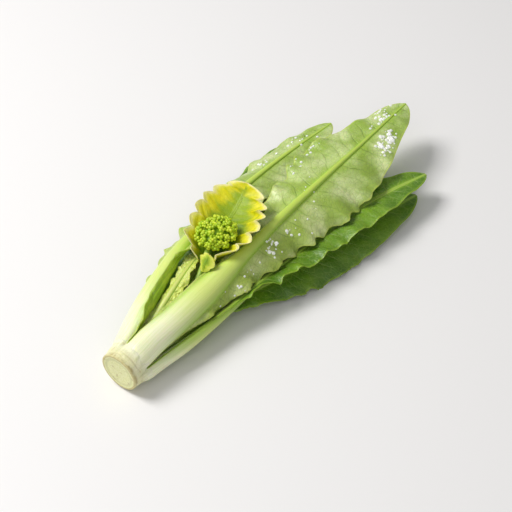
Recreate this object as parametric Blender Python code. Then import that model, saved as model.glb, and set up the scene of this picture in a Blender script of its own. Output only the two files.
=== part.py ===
"""A head of a-choy, the sword-leaf lettuce, lying on its side.

The cut butt points to -X, the leaf tips to +X, and +Z is up. Lengths in the tables are in
millimetres and angles in degrees. The finished head is moved so that the middle of its lowest
plane is the origin.
"""

from dataclasses import dataclass

import bmesh
import bpy
import numpy as np
from mathutils import Vector

MM = 0.001
SMOOTH_ANGLE = np.radians(55)

# The butt and the core of the stem lie along X at this height.
AXIS_Z = 15.0
BUTT_RADIUS = 13.5
BUTT_BEVEL = 0.8
COLLAR_START = 2.0
COLLAR_END = 14.0
# The leaf stalks of the outer ring start this far from the axis, this far past the collar.
RING_RADIUS = 12.5
CLEAR = 0.7
# Radius of the stem between the leaf stalks, and sides of the stem's rings.
BETWEEN_STALKS = 11.9
STEM_SIDES = 32

# A leaf's blade is this thick away from its rib.
BLADE = 0.8
# The rib's flat top takes this share of its width.
RIB_FLAT = 0.6
BLADE_CELLS = 3
# Points along each half blade at which its bend is summed.
BEND_STEPS = 25
# The last stations of a leaf crowd into its tip, whose sides round off from TIP_START.
TIP_STATIONS = (0.962, 0.98, 0.993, 1.0)
BODY_END = 0.94
TIP_START = 0.93
TIP_RUN = 0.072
# Lobes fade out over this share of the length, up to FADE_END.
FADE_END = 0.96
FADE_RUN = 0.2
# Waves and lobes grow to their full size where a blade is this much wider than its rib.
FREE_WIDTH = 6.0
NARROWEST_BLADE = 0.6

BUD_RADIUS = 1.8
BUDS_PER_FLORET = 5
FLORETS = 13
# The ring of buds round the top one of each floret: its radius and how far it sits back.
BUD_RING = 2.7
BUD_RING_BACK = 1.0


@dataclass(frozen=True)
class Leaf:
    """One leaf. Its tables are pairs of (part of the length, value).

    roll is the angle of the outer face from straight up, towards +Y. The near side of a leaf
    whose outer face is up lies to -Y. A droop pair gives the angles at the rib and at the
    margin by which that half bends away from the outer face.
    """

    name: str
    finish: str
    stations: int
    spine: tuple
    roll: tuple
    far: tuple
    near: tuple
    far_droop: tuple
    near_droop: tuple
    rib: tuple
    bump: tuple
    keel: tuple
    wave: float = 1.5
    wavelength: float = 28.0
    phase: float = 0.0
    lobe: float = 0.8
    lobe_length: float = 15.0


LEAVES = (
    Leaf(
        name="leaf_top",
        finish="leaf_outer",
        stations=38,
        spine=(
            (15, -6.4, 25.7),
            (24, -6.4, 27),
            (45, -7.5, 28.4),
            (75, -9, 31.2),
            (110, -9.7, 33.5),
            (150, -9.8, 35.5),
            (195, -10.5, 36.5),
            (250, -10.8, 36),
            (300, -10, 34.8),
        ),
        roll=((0, -30), (0.07, -20), (0.14, -14), (0.32, -6), (0.61, -3), (1, 0)),
        far=(
            (0, 10.2),
            (0.12, 11.2),
            (0.21, 10.4),
            (0.27, 9),
            (0.34, 7),
            (0.41, 11),
            (0.51, 21),
            (0.61, 26),
            (0.7, 30),
            (0.79, 25),
            (0.9, 16),
            (1, 10),
        ),
        near=(
            (0, 10.2),
            (0.09, 10.4),
            (0.14, 12.5),
            (0.2, 14.6),
            (0.29, 17.8),
            (0.4, 22),
            (0.53, 28),
            (0.7, 31),
            (0.79, 26),
            (0.9, 16.5),
            (1, 10),
        ),
        far_droop=((0, 0, 46), (0.12, 5, 25), (0.27, 5, 5), (0.41, 20, 30), (0.56, 8, 18), (1, 5, 10)),
        near_droop=((0, 0, 46), (0.1, 10, 42), (0.22, 20, 38), (0.41, 18, 40), (0.61, 12, 30), (1, 5, 8)),
        rib=(
            (0, 9.6),
            (0.12, 9.4),
            (0.2, 9),
            (0.26, 7.4),
            (0.32, 5.4),
            (0.38, 4),
            (0.5, 2.9),
            (0.68, 1.8),
            (0.86, 1),
            (1, 0.7),
        ),
        bump=((0, 3), (0.22, 3.6), (0.32, 3.4), (0.51, 2.4), (0.71, 1.5), (1, 0.4)),
        keel=((0, 5), (0.12, 4.5), (0.27, 2.5), (0.41, 1.2), (0.61, 0.5), (1, 0.1)),
        wave=2.4,
        wavelength=31.0,
        lobe=1.2,
    ),
    Leaf(
        name="leaf_left",
        finish="leaf_outer",
        stations=32,
        spine=(
            (15, 10.8, 21.2),
            (26, 13.6, 23.4),
            (37, 16.2, 25.1),
            (50, 19.2, 26.3),
            (64, 22.8, 27.2),
            (92, 29, 28.5),
            (125, 32, 28.5),
            (165, 34, 26.5),
            (215, 33, 23.5),
            (262, 28.5, 22),
        ),
        roll=((0, 60), (0.05, 40), (0.12, 24), (0.25, 20), (0.56, 16), (0.76, 12), (1, 5)),
        far=(
            (0, 8.6),
            (0.06, 9.2),
            (0.12, 10.2),
            (0.2, 11.6),
            (0.3, 13.5),
            (0.37, 17),
            (0.51, 22),
            (0.66, 24),
            (0.81, 20),
            (0.92, 13),
            (1, 8),
        ),
        near=(
            (0, 8.6),
            (0.03, 9.2),
            (0.06, 11),
            (0.1, 11.9),
            (0.15, 11.8),
            (0.22, 11.2),
            (0.28, 10.6),
            (0.34, 11),
            (0.4, 12),
            (0.46, 14),
            (0.61, 18),
            (0.76, 19),
            (0.9, 13),
            (1, 8),
        ),
        far_droop=((0, 0, 35), (0.1, 5, 35), (0.22, 10, 30), (0.51, 15, 35), (0.81, 10, 25), (1, 5, 10)),
        near_droop=(
            (0, 0, 38),
            (0.03, 0, 30),
            (0.06, 10, -20),
            (0.1, 25, -90),
            (0.15, 30, -120),
            (0.22, 30, -120),
            (0.28, 20, -95),
            (0.34, 15, -40),
            (0.4, 15, 10),
            (0.46, 15, 15),
            (0.61, 25, 25),
            (1, 5, 5),
        ),
        rib=(
            (0, 8),
            (0.06, 8.6),
            (0.12, 9.3),
            (0.2, 8.6),
            (0.28, 6.8),
            (0.36, 4.6),
            (0.46, 3.5),
            (0.61, 2.5),
            (0.81, 1.4),
            (1, 0.7),
        ),
        bump=((0, 3.4), (0.17, 3.4), (0.32, 2.8), (0.51, 1.8), (0.81, 0.9), (1, 0.3)),
        keel=((0, 4.5), (0.17, 3.5), (0.37, 1.6), (0.61, 0.5), (1, 0.1)),
        wave=1.8,
        phase=1.0,
    ),
    Leaf(
        name="leaf_right",
        finish="leaf_inner",
        stations=32,
        spine=(
            (15, -11.6, 10.5),
            (24, -13.2, 11.2),
            (40, -16.5, 12.6),
            (70, -20.4, 15.2),
            (110, -22.5, 17.2),
            (150, -27, 17.5),
            (192, -34, 19),
            (230, -44, 19.5),
            (260, -54, 19),
        ),
        roll=((0, -111), (0.14, -106), (0.32, -138), (0.47, -160), (0.71, -170), (1, -175)),
        far=(
            (0, 6.2),
            (0.13, 6.2),
            (0.24, 6.4),
            (0.37, 12.2),
            (0.51, 18),
            (0.66, 19),
            (0.81, 17),
            (0.92, 11),
            (1, 7),
        ),
        near=(
            (0, 6.2),
            (0.13, 6.2),
            (0.22, 6.6),
            (0.37, 12),
            (0.51, 17),
            (0.66, 18),
            (0.81, 16),
            (0.92, 11),
            (1, 7),
        ),
        far_droop=((0, 0, 20), (0.32, 0, 0), (0.61, 5, -10), (1, 5, 0)),
        near_droop=((0, 0, 28), (0.17, 5, 35), (0.32, 12, 30), (0.61, 10, 18), (1, 5, 15)),
        rib=((0, 5.8), (0.09, 6.2), (0.17, 5.8), (0.32, 4.4), (0.51, 2.8), (0.81, 1.4), (1, 0.7)),
        bump=((0, 3.4), (0.17, 3.2), (0.32, 2.4), (0.51, 1.7), (0.81, 0.9), (1, 0.3)),
        keel=((0, 3.2), (0.17, 2.2), (0.37, 1.2), (0.61, 0.4), (1, 0.1)),
        wave=1.8,
        phase=2.2,
    ),
    Leaf(
        name="leaf_low_right",
        finish="leaf_inner",
        stations=32,
        spine=(
            (27, -5, 7.3),
            (50, -6.6, 7.9),
            (75, -10.2, 8.8),
            (105, -18.5, 9.6),
            (140, -29, 9.2),
            (190, -40.5, 8.8),
            (225, -47.5, 7.5),
            (250, -54, 6.5),
        ),
        roll=((0, -138), (0.1, -165), (0.3, -174), (1, -178)),
        far=(
            (0, 3.6),
            (0.1, 4.6),
            (0.2, 5.5),
            (0.28, 9),
            (0.4, 16),
            (0.6, 21),
            (0.8, 18),
            (0.93, 12),
            (1, 7),
        ),
        near=((0, 3.6), (0.1, 4.6), (0.2, 7), (0.4, 14), (0.6, 17), (0.8, 16), (0.93, 11), (1, 7)),
        far_droop=((0, 0, 20), (0.2, 0, 0), (0.5, -11, -34), (0.8, -6, -20), (1, 0, 0)),
        near_droop=((0, 0, 20), (0.2, 0, 10), (0.5, 5, 12), (1, 5, 10)),
        rib=((0, 3.4), (0.2, 3.8), (0.4, 3), (0.6, 2.2), (0.8, 1.4), (1, 0.7)),
        bump=((0, 1.6), (0.3, 2.4), (0.5, 2), (0.8, 1), (1, 0.3)),
        keel=((0, 2.5), (0.3, 1.2), (0.6, 0.4), (1, 0.1)),
        phase=3.1,
    ),
    Leaf(
        name="leaf_low_left",
        finish="leaf_inner",
        stations=32,
        spine=(
            (28, 7.9, 11.4),
            (50, 14, 10.2),
            (95, 24, 9.6),
            (140, 33, 9.2),
            (190, 41, 8.8),
            (240, 46, 7),
        ),
        roll=((0, 113), (0.08, 140), (0.2, 165), (0.35, 172), (1, 178)),
        far=((0, 4.2), (0.1, 7), (0.2, 10), (0.4, 14), (0.6, 17), (0.8, 15), (0.93, 10), (1, 7)),
        near=((0, 4.2), (0.1, 7), (0.2, 11), (0.4, 17), (0.6, 20), (0.8, 17), (0.93, 11), (1, 7)),
        far_droop=((0, 0, 20), (0.2, 0, 10), (0.5, 5, 12), (1, 5, 10)),
        near_droop=((0, 0, 20), (0.2, 0, 0), (0.5, -14, -42), (0.8, -8, -24), (1, 0, 0)),
        rib=((0, 4), (0.2, 4), (0.4, 3), (0.6, 2.2), (0.8, 1.4), (1, 0.7)),
        bump=((0, 1.6), (0.3, 2.4), (0.5, 2), (0.8, 1), (1, 0.3)),
        keel=((0, 2.5), (0.3, 1.2), (0.6, 0.4), (1, 0.1)),
        phase=4.0,
    ),
    Leaf(
        name="leaf_bottom",
        finish="leaf_inner",
        stations=32,
        spine=(
            (15, 3.4, 3),
            (50, 2.5, 2.7),
            (95, 0, 2.6),
            (150, -1, 2.3),
            (205, 1, 2.1),
            (240, 2, 2.3),
            (262, 2.5, 4.5),
        ),
        roll=((0, 164), (0.17, 178), (0.42, 180), (1, 180)),
        far=(
            (0, 5.8),
            (0.13, 8),
            (0.22, 12),
            (0.37, 17),
            (0.51, 22),
            (0.71, 23),
            (0.85, 18),
            (0.95, 12),
            (1, 8),
        ),
        near=(
            (0, 5.8),
            (0.13, 6.6),
            (0.22, 8.5),
            (0.37, 16),
            (0.51, 22),
            (0.71, 23),
            (0.85, 18),
            (0.95, 12),
            (1, 8),
        ),
        far_droop=((0, 0, 26), (0.13, 5, 15), (0.32, 3, 6), (1, 3, 8)),
        near_droop=((0, 0, 26), (0.13, 5, 15), (0.32, 3, 6), (1, 3, 8)),
        rib=((0, 5.6), (0.22, 5.4), (0.42, 4), (0.61, 3), (0.81, 2.4), (1, 1)),
        bump=((0, 3), (0.32, 2.9), (0.61, 2.5), (0.9, 2.2), (1, 0.6)),
        keel=((0, 2.4), (0.22, 1.4), (0.42, 0.8), (1, 0.1)),
        wave=1.2,
        phase=0.6,
    ),
    Leaf(
        name="inner_leaf_crinkled",
        finish="leaf_young",
        stations=20,
        spine=(
            (31, 4.6, 20.9),
            (40, 5.8, 23.6),
            (50, 7.2, 26.8),
            (64, 9.2, 30),
            (78, 12, 30.6),
            (92, 15.6, 28),
            (108, 18.5, 24),
        ),
        roll=((0, 5), (1, 0)),
        far=((0, 4.6), (0.15, 4.4), (0.3, 4.4), (0.5, 4.8), (0.7, 7), (0.85, 8), (1, 4)),
        near=((0, 3), (0.2, 5), (0.42, 6.5), (0.55, 6.6), (0.66, 5.2), (1, 3)),
        far_droop=((0, 5, 40), (0.4, 10, 30), (1, 5, 30)),
        near_droop=((0, 0, 10), (0.4, 5, 20), (0.6, -10, -40), (0.8, -5, -20), (1, 5, 15)),
        rib=((0, 2.2), (0.5, 1.6), (1, 0.8)),
        bump=((0, 1), (0.5, 0.8), (1, 0.3)),
        keel=((0, 0.6), (1, 0.1)),
        wave=1.0,
        wavelength=13.0,
        lobe=0.5,
        lobe_length=8.0,
    ),
    Leaf(
        name="inner_leaf_middle",
        finish="leaf_young",
        stations=22,
        spine=((43, -3, 21.8), (90, -7, 23.5), (150, -8, 25.5), (205, -4, 23.5)),
        roll=((0, -10), (1, 0)),
        far=((0, 3), (0.2, 4.5), (0.5, 11), (0.8, 12), (1, 5)),
        near=((0, 3), (0.2, 6), (0.5, 12), (0.8, 9), (1, 5)),
        far_droop=((0, 0, 20), (1, 10, 20)),
        near_droop=((0, 0, 20), (1, 10, 20)),
        rib=((0, 2.6), (0.5, 1.8), (1, 0.8)),
        bump=((0, 0.8), (0.5, 1), (1, 0.3)),
        keel=((0, 0.5), (1, 0.1)),
        wave=1.2,
        wavelength=22.0,
        phase=1.5,
    ),
    Leaf(
        name="inner_leaf_side",
        finish="leaf_young",
        stations=22,
        spine=((42, 5, 12.5), (90, 13, 14), (150, 21, 16.5), (205, 22, 16)),
        roll=((0, 130), (0.3, 165), (1, 175)),
        far=((0, 3), (0.15, 8), (0.5, 12), (0.8, 12), (1, 5)),
        near=((0, 3), (0.15, 8), (0.5, 12), (0.8, 11), (1, 5)),
        far_droop=((0, 0, 20), (1, 10, 20)),
        near_droop=((0, 0, 20), (1, 10, 20)),
        rib=((0, 2.2), (0.5, 1.6), (1, 0.8)),
        bump=((0, 0.8), (0.5, 1), (1, 0.3)),
        keel=((0, 0.5), (1, 0.1)),
        wave=1.2,
        wavelength=22.0,
        phase=2.5,
    ),
    Leaf(
        name="flower_bract",
        finish="bract",
        stations=24,
        spine=(
            (91, 6.2, 28.8),
            (97, 8.6, 30.8),
            (107, 11.5, 33.2),
            (122, 14.5, 35.2),
            (137, 17, 38.5),
            (147, 18.5, 44),
            (151, 19, 49.5),
        ),
        roll=((0, 180), (1, 180)),
        far=((0, 10.5), (0.06, 17), (0.15, 23.5), (0.3, 27), (0.7, 26), (0.87, 18), (1, 10)),
        near=((0, 10), (0.08, 15.5), (0.2, 20.5), (0.35, 22), (0.7, 22.5), (0.87, 17), (1, 10)),
        far_droop=((0, 18, 110), (0.1, 12, 80), (0.25, 3, 58), (0.4, 3, 56), (0.7, 4, 56), (1, 5, 20)),
        near_droop=((0, 20, 120), (0.1, 10, 90), (0.2, 4, 72), (0.35, 3, 64), (0.7, 4, 56), (1, 5, 20)),
        rib=((0, 1.8), (0.5, 1.4), (1, 0.8)),
        bump=((0, 0.8), (0.5, 0.6), (1, 0.2)),
        keel=((0, 0.3), (1, 0.1)),
        wave=0.4,
        wavelength=9.0,
        lobe=1.5,
        lobe_length=11.0,
    ),
    Leaf(
        name="flower_bractlet",
        finish="bract",
        stations=9,
        spine=((83, 1.8, 33.5), (84.5, 1.6, 37), (86.5, 1.2, 40.5), (89, 0.8, 44)),
        roll=((0, 0), (1, 0)),
        far=((0, 2), (0.3, 4.6), (0.6, 6), (0.85, 4.8), (1, 3.2)),
        near=((0, 2), (0.3, 4.6), (0.6, 6), (0.85, 4.8), (1, 3.2)),
        far_droop=((0, 5, 30), (1, 5, 40)),
        near_droop=((0, 5, 30), (1, 5, 40)),
        rib=((0, 1), (1, 0.5)),
        bump=((0, 0.5), (1, 0.1)),
        keel=((0, 0.2), (1, 0.1)),
        wave=0.5,
        wavelength=9.0,
        lobe=0.6,
        lobe_length=7.0,
    ),
)

# Where each leaf stalk of the outer ring meets the collar: degrees from +Y towards +Z.
RING = {"leaf_top": 121, "leaf_left": 30, "leaf_right": 201, "leaf_bottom": 286}
CORE = ((COLLAR_END, 6.5), (30, 5.5), (40, 4.2), (50, 3.2))

FLOWER_STALK = (
    (54, 1, 16.3),
    (62, 1.5, 18.5),
    (72, 2, 23),
    (82, 3.5, 29),
    (90, 6, 33.5),
    (98, 9.5, 36.5),
    (106, 13, 39.5),
)
STALK_RADII = (2.3, 1.7)
HEAD_CENTRE = (107.8, 10.4, 41.7)
HEAD_HALF = (12.2, 11, 6.3)

# Colour, roughness and metallic value of each finish.
FINISHES = {
    "stem": ((0.72, 0.75, 0.45), 0.55, 0.0),
    "leaf_outer": ((0.34, 0.50, 0.13), 0.5, 0.0),
    "leaf_inner": ((0.13, 0.30, 0.03), 0.45, 0.0),
    "leaf_young": ((0.50, 0.62, 0.16), 0.5, 0.0),
    "bract": ((0.80, 0.74, 0.12), 0.5, 0.0),
    "buds": ((0.22, 0.44, 0.03), 0.45, 0.0),
}


def through(keys, at):
    """Values at the given places of a smooth curve through (place, value) keys."""
    keys = np.array(keys, float)
    places = keys[:, 0]
    values = keys[:, 1:]
    slopes = np.gradient(values, places, axis=0)
    at = np.clip(np.asarray(at, float), places[0], places[-1])
    k = np.clip(np.searchsorted(places, at, side="right") - 1, 0, len(places) - 2)
    span = (places[k + 1] - places[k])[:, None]
    t = (at[:, None] - places[k][:, None]) / span
    rise = t * t * (3 - 2 * t)
    leave = t * (1 - t) ** 2 * span * slopes[k]
    arrive = t * t * (t - 1) * span * slopes[k + 1]
    return values[k] * (1 - rise) + values[k + 1] * rise + leave + arrive


def route(points, at):
    """Points on a smooth curve through the given points, at parts of its length."""
    points = np.array(points, float)
    steps = np.linalg.norm(np.diff(points, axis=0), axis=1)
    places = np.append(0, np.cumsum(steps)) / steps.sum()
    return through(np.column_stack((places, points)), at)


def unit(vectors):
    return vectors / np.linalg.norm(vectors, axis=-1, keepdims=True)


def swell(share):
    """Height of a rib's rounded face, from 1 at its middle to 0 at its edges."""
    return np.clip(1 - np.abs(share) ** 2.6, 0, 1) ** 0.6


def leaf_stations(count):
    """Parts of the length, evenly spaced but closer together in the rounded tip."""
    body = np.linspace(0, BODY_END, count - len(TIP_STATIONS))
    return np.append(body, TIP_STATIONS)


def tip_rounding(part):
    """Narrows the last stretch of a leaf to a round tip."""
    run = np.clip((part - TIP_START) / TIP_RUN, 0, 1)
    return np.sqrt(1 - run**2)


def side_angles(droop, part, share):
    """Bend of a half blade at shares of its width, for every station."""
    pair = through(droop, part)
    return np.radians(pair[:, :1] + (pair[:, 1:] - pair[:, :1]) * share)


def half_blade(leaf, side, part, length):
    """Offsets of one half of a leaf: across, outwards, rib share and bend, for every station.

    side is 1 for the far half and -1 for the near one. The first column is the middle of the rib.
    """
    table = leaf.far if side > 0 else leaf.near
    droop = leaf.far_droop if side > 0 else leaf.near_droop
    rounding = tip_rounding(part)
    rib = np.minimum(through(leaf.rib, part)[:, 0], 10 * rounding + 0.3)
    lobes = leaf.lobe * np.cos(2 * np.pi * part * length / leaf.lobe_length + leaf.phase + side)
    lobes *= np.clip((FADE_END - part) / FADE_RUN, 0, 1)
    width = through(table, part)[:, 0]
    free = np.clip((width - rib) / FREE_WIDTH, 0, 1)
    width = np.maximum((width + lobes * free) * rounding, rib + NARROWEST_BLADE)
    cells = np.linspace(0, 1, BLADE_CELLS + 1)[1:]
    blade = rib[:, None] + (width - rib)[:, None] * cells
    distance = np.column_stack((rib * 0, rib * RIB_FLAT, rib, blade))
    share = distance / width[:, None]
    fine = np.linspace(0, 1, BEND_STEPS)
    angles = side_angles(droop, part, fine)
    step = width[:, None] * fine[1]
    across_steps = (np.cos(angles[:, 1:]) + np.cos(angles[:, :-1])) / 2 * step
    down_steps = (np.sin(angles[:, 1:]) + np.sin(angles[:, :-1])) / 2 * step
    across_run = np.column_stack((np.zeros(len(part)), np.cumsum(across_steps, axis=1)))
    down_run = np.column_stack((np.zeros(len(part)), np.cumsum(down_steps, axis=1)))
    across = np.array([np.interp(s, fine, run) for s, run in zip(share, across_run)])
    down = np.array([np.interp(s, fine, run) for s, run in zip(share, down_run)])
    bend = side_angles(droop, part, share)
    out = np.clip((distance - rib[:, None]) / np.maximum(width - rib, 1)[:, None], 0, 1)
    turn = 2 * np.pi * part * length / leaf.wavelength + leaf.phase + 1.7 * side
    ripple = (np.sin(turn) + 0.4 * np.sin(1.7 * turn + 1)) * leaf.wave * free * rounding
    height = ripple[:, None] * out**1.5
    rib_share = np.clip(distance / rib[:, None], 0, 1)
    return side * (across + height * np.sin(bend)), height * np.cos(bend) - down, rib_share


def leaf_surface(leaf, part):
    """Middle surface of a leaf and how far its outer and inner faces stand off it."""
    points = route(leaf.spine, part)
    ahead = route(leaf.spine, part + 0.004)
    behind = route(leaf.spine, part - 0.004)
    along = unit(ahead - behind)
    length = np.linalg.norm(np.diff(points, axis=0), axis=1).sum()
    level = unit(np.cross((0, 0, 1), along))
    above = np.cross(along, level)
    roll = np.radians(through(leaf.roll, part))
    outward = np.cos(roll) * above + np.sin(roll) * level
    sideways = np.cos(roll) * level - np.sin(roll) * above
    far = half_blade(leaf, 1, part, length)
    near = half_blade(leaf, -1, part, length)
    across, rise, share = (np.column_stack((n[:, :0:-1], f[:, 1:])) for n, f in zip(near, far))
    middle = points[:, None] + across[..., None] * sideways[:, None] + rise[..., None] * outward[:, None]
    normals = unit(np.cross(np.gradient(middle, axis=0), np.gradient(middle, axis=1)))
    bump = BLADE / 2 + through(leaf.bump, part) * swell(share)
    keel = BLADE / 2 + through(leaf.keel, part) * swell(share)
    outer = middle + normals * bump[..., None]
    inner = middle - normals * keel[..., None]
    sunk = np.maximum(-outer[..., 2], 0)
    outer[..., 2] += sunk
    inner[..., 2] += sunk
    return outer, inner


def grid_cells(rows, columns, first, flip):
    """Triangles of a grid of points, all split along the same diagonal."""
    faces = []
    for i in range(rows - 1):
        for j in range(columns - 1):
            a = first + i * columns + j
            b = a + 1
            c = a + columns
            d = c + 1
            for face in ((a, c, d), (a, d, b)):
                faces.append(face[::-1] if flip else face)
    return faces


def shell_faces(rows, columns):
    """Triangles of a thin closed leaf: outer grid, inner grid, margins and both ends."""
    size = rows * columns
    faces = grid_cells(rows, columns, 0, False) + grid_cells(rows, columns, size, True)
    near_edge = [i * columns for i in range(rows)]
    far_edge = [i * columns + columns - 1 for i in range(rows)]
    tip = [(rows - 1) * columns + j for j in range(columns)]
    loop = list(range(columns)) + far_edge[1:] + tip[-2::-1] + near_edge[-2:0:-1]
    for a, b in zip(loop, loop[1:] + loop[:1]):
        faces.append((a, b, b + size))
        faces.append((a, b + size, a + size))
    return faces


def collar_radius(x, angle):
    """Radius of the butt, which swells towards the foot of each leaf stalk."""
    blend = np.clip((x - COLLAR_START) / (COLLAR_END - COLLAR_START), 0, 1) ** 1.5
    lobed = np.full_like(angle, BETWEEN_STALKS)
    for leaf in LEAVES:
        if leaf.name in RING:
            half = leaf.rib[0][1] / RING_RADIUS
            turn = (angle - np.radians(RING[leaf.name]) + np.pi) % (2 * np.pi) - np.pi
            foot = RING_RADIUS + BLADE / 2 + leaf.bump[0][1] * swell(np.clip(turn / half, -1, 1))
            lobed = np.maximum(lobed, np.where(np.abs(turn) <= half, foot, 0))
    return BUTT_RADIUS * (1 - blend) + lobed * blend


def ring_faces(rings, sides):
    """Quads between rings of points and a flat face at both ends."""
    faces = []
    for i in range(rings - 1):
        for j in range(sides):
            a = i * sides + j
            b = i * sides + (j + 1) % sides
            faces.append((a, b, b + sides, a + sides))
    last = (rings - 1) * sides
    faces.append(tuple(range(sides))[::-1])
    faces.append(tuple(range(last, last + sides)))
    return faces


def stem_mesh():
    """The cut butt, its lobed collar and the core, as rings along X."""
    angle = np.linspace(0, 2 * np.pi, STEM_SIDES, endpoint=False)
    rings = [(0, BUTT_RADIUS - BUTT_BEVEL + 0 * angle), (BUTT_BEVEL, BUTT_RADIUS + 0 * angle)]
    for x in (4, 7, 10, COLLAR_END - CLEAR):
        rings.append((x, collar_radius(x, angle)))
    for x, radius in CORE:
        rings.append((x, radius + 0 * angle))
    points = []
    for x, radius in rings:
        ring = np.column_stack((x + 0 * angle, radius * np.cos(angle), AXIS_Z + radius * np.sin(angle)))
        ring[:, 2] = np.maximum(ring[:, 2], 0)
        points.append(ring)
    return np.concatenate(points), ring_faces(len(rings), STEM_SIDES)


def stalk_mesh(sides=8, count=14):
    """The bent stalk that carries the buds."""
    part = np.linspace(0, 1, count)
    centres = route(FLOWER_STALK, part)
    along = unit(np.gradient(centres, axis=0))
    level = unit(np.cross((0, 0, 1), along))
    above = np.cross(along, level)
    radius = np.linspace(*STALK_RADII, count)[:, None, None]
    angle = np.linspace(0, 2 * np.pi, sides, endpoint=False)[:, None]
    rings = centres[:, None] + radius * (np.cos(angle) * level[:, None] + np.sin(angle) * above[:, None])
    return rings.reshape(-1, 3), ring_faces(count, sides)


def floret_centres():
    """Places of the florets on the head's upper side, by the golden angle."""
    golden = np.pi * (3 - np.sqrt(5))
    k = np.arange(FLORETS)
    tilt = np.arccos(1 - 1.05 * (k + 0.4) / FLORETS)
    turn = golden * k
    return np.column_stack((np.sin(tilt) * np.cos(turn), np.sin(tilt) * np.sin(turn), np.cos(tilt)))


def bud_centres():
    """Places of the buds: one on top of each floret and a ring round it."""
    half = np.array(HEAD_HALF)
    centres = []
    for number, direction in enumerate(floret_centres()):
        top = np.array(HEAD_CENTRE) + direction * (half + BUD_RADIUS / 2)
        centres.append(top)
        first = unit(np.cross(direction, (0.3, 0.5, -1)))
        second = np.cross(direction, first)
        for k in range(BUDS_PER_FLORET):
            turn = 2 * np.pi * (k + 0.37 * number) / BUDS_PER_FLORET
            ring = first * np.cos(turn) + second * np.sin(turn)
            centres.append(top + BUD_RING * ring - BUD_RING_BACK * direction)
    return centres


def make_object(name, points, faces, finish):
    mesh = bpy.data.meshes.new(name)
    mesh.from_pydata([tuple(p) for p in np.asarray(points) * MM], [], faces)
    mesh.update()
    mesh.materials.append(materials[finish])
    made = bpy.data.objects.new(name, mesh)
    bpy.context.scene.collection.objects.link(made)
    mesh.shade_smooth()
    mesh.set_sharp_from_angle(angle=SMOOTH_ANGLE)
    return made


def make_material(name, colour, roughness, metallic):
    material = bpy.data.materials.new(name)
    material.use_nodes = True
    shader = material.node_tree.nodes["Principled BSDF"]
    shader.inputs["Base Color"].default_value = (*colour, 1)
    shader.inputs["Roughness"].default_value = roughness
    shader.inputs["Metallic"].default_value = metallic
    return material


def make_ball(collection, centre, half, subdivisions):
    """A faceted ball with the given half axes, in millimetres, in a collection."""
    shape = bmesh.new()
    bmesh.ops.create_icosphere(shape, subdivisions=subdivisions, radius=1)
    for vertex in shape.verts:
        vertex.co = (vertex.co * Vector(half) + Vector(centre)) * MM
    mesh = bpy.data.meshes.new("ball")
    shape.to_mesh(mesh)
    shape.free()
    collection.objects.link(bpy.data.objects.new("ball", mesh))


def make_leaf(leaf):
    part = leaf_stations(leaf.stations)
    outer, inner = leaf_surface(leaf, part)
    rows, columns = outer.shape[:2]
    points = np.concatenate((outer.reshape(-1, 3), inner.reshape(-1, 3)))
    return make_object(leaf.name, points, shell_faces(rows, columns), leaf.finish)


def make_flower_head():
    """Stalk, core and buds, joined in one union."""
    stalk = make_object("flower_head", *stalk_mesh(), "buds")
    buds = bpy.data.collections.new("bud_parts")
    bpy.context.scene.collection.children.link(buds)
    make_ball(buds, Vector(HEAD_CENTRE), Vector(HEAD_HALF), 2)
    for centre in bud_centres():
        make_ball(buds, centre, (BUD_RADIUS,) * 3, 1)
    union = stalk.modifiers.new("join", "BOOLEAN")
    union.operation = "UNION"
    union.operand_type = "COLLECTION"
    union.collection = buds
    union.solver = "EXACT"
    bpy.context.view_layer.objects.active = stalk
    bpy.ops.object.modifier_apply(modifier=union.name)
    for ball in list(buds.objects):
        bpy.data.objects.remove(ball)
    bpy.data.collections.remove(buds)
    stalk.data.shade_smooth()
    return stalk


def stand_on_origin(made):
    """Moves every piece so that the middle of the head's lowest plane is the origin."""
    corners = np.concatenate([[tuple(v.co) for v in piece.data.vertices] for piece in made])
    low = corners.min(axis=0)
    high = corners.max(axis=0)
    shift = Vector((-(low[0] + high[0]) / 2, -(low[1] + high[1]) / 2, -low[2]))
    for piece in made:
        for vertex in piece.data.vertices:
            vertex.co += shift


for old in list(bpy.data.objects):
    bpy.data.objects.remove(old)
materials = {name: make_material(name, *values) for name, values in FINISHES.items()}
pieces = [make_object("stem", *stem_mesh(), "stem")]
pieces += [make_leaf(leaf) for leaf in LEAVES]
pieces.append(make_flower_head())
stand_on_origin(pieces)
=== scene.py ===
from dataclasses import dataclass

import bmesh
import bpy
import numpy as np
from mathutils import Matrix, Vector


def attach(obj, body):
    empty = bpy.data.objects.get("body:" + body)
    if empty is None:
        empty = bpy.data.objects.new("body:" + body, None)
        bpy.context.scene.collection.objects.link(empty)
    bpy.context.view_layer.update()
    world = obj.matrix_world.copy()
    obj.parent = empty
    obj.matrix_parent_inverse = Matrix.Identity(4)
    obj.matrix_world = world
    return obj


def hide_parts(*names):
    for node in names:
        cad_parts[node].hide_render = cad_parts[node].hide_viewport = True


# A head of a-choy, the sword-leaf lettuce, lying on its side with the cut butt to -X and the leaf
# tips to +X. Lengths in the tables are in millimetres and angles in degrees, and SHIFT brings
# the tables' zero, the middle of the cut face above the floor, to its place in the frame.
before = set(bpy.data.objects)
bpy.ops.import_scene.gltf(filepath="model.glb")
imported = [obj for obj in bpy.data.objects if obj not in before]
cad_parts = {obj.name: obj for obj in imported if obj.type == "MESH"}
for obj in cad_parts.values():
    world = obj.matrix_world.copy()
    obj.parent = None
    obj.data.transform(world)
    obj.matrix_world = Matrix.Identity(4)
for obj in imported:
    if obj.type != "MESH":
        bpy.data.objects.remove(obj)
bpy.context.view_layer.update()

MM = 0.001
SHIFT = (-150.0324, 1.5637, 0.0)
SMOOTH_ANGLE = np.radians(60)

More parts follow.
